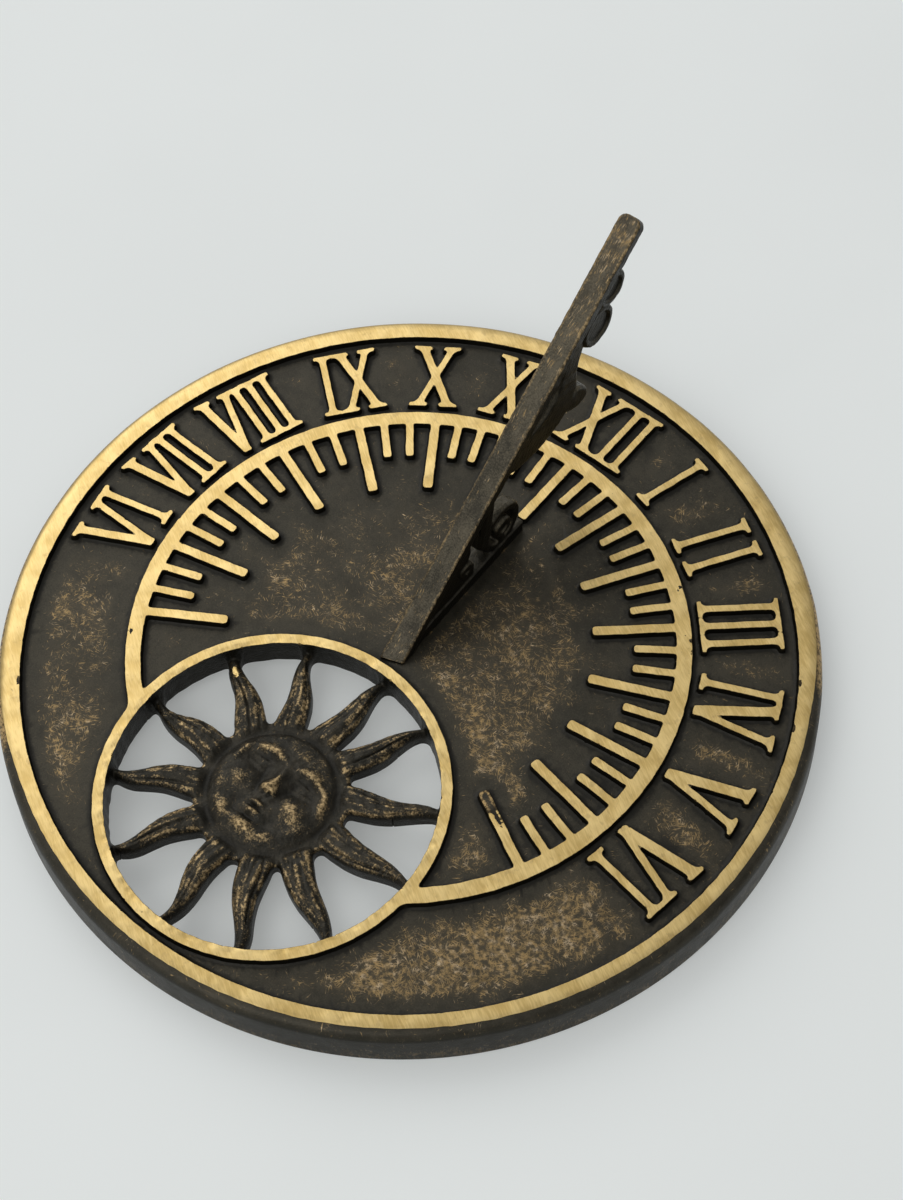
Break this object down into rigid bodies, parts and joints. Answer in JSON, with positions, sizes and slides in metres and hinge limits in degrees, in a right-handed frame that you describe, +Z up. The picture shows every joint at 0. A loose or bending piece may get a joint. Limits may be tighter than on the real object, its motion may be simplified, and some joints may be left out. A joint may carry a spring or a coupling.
{
  "type": "sundial",
  "caption": "Round horizontal sundial with raised numerals, an hour scale, a pierced sun with wavy rays and a scrolled gnomon.",
  "frame": {"origin": "centre of the foot of the dial plate", "axes": "+Z up, +Y towards noon along the gnomon, +X to the right seen from above"},
  "size_m": [0.254, 0.254, 0.1067],
  "materials": {
    "aged_brass": "cast, dark brown patina, relief faces linished bright",
    "bright_brass": "turned",
    "steel": "zinc plated"
  },
  "bodies": {
    "root": {"dial_plate": "aged_brass", "gnomon": "aged_brass", "gnomon_screws": "bright_brass", "spring_washers": "steel"}
  },
  "joints": []
}
